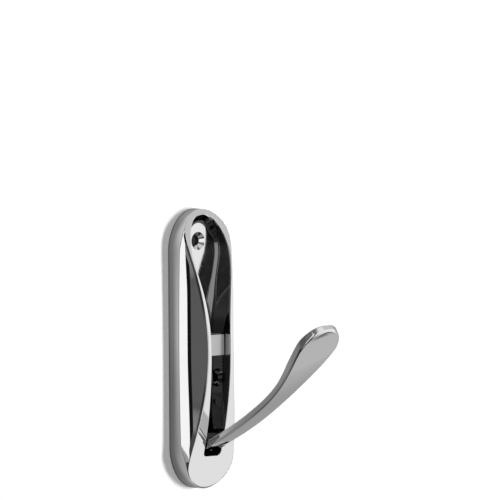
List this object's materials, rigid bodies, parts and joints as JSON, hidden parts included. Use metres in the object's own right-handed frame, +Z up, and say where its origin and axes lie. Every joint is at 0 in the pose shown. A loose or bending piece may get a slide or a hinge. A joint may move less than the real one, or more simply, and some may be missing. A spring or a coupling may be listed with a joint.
{
  "type": "folding coat hook",
  "caption": "Wall coat hook with a waisted, arched housing and a spoon-shaped arm that folds flush into its recess and swings out on a pin.",
  "frame": {"origin": "centre of the back face, on the wall plane", "axes": "+Z up the wall, +Y into the wall, so the hook stands out towards -Y; +X to the right as seen from the room"},
  "size_m": [0.0318, 0.0923, 0.13],
  "materials": {
    "chrome_housing": "polished chrome on die-cast zinc",
    "chrome_plate": "bright chrome, a little less polished",
    "chrome_arm": "polished chrome on die-cast zinc",
    "chrome_bridge": "satin chrome on pressed strip",
    "pin_steel": "ground steel",
    "washer_brass": "stamped brass",
    "spring_steel": "rolled spring steel",
    "rivet_steel": "bright zinc plate",
    "screw_steel": "bright zinc plate"
  },
  "bodies": {
    "housing": {"housing_shell": "chrome_housing", "back_plate": "chrome_plate", "pivot_pin": "pin_steel", "friction_washers": "washer_brass", "detent_spring": "spring_steel", "spring_rivet": "rivet_steel", "rest_bridge": "chrome_bridge", "plate_screws": "screw_steel"},
    "arm": {"hook_arm": "chrome_arm"}
  },
  "joints": [
    {"name": "arm_fold", "type": "hinge", "parent": "housing", "child": "arm", "pos_m": [0, -0.0096, -0.041], "axis": [-1, 0, 0], "range_deg": [0, 58]}
  ]
}
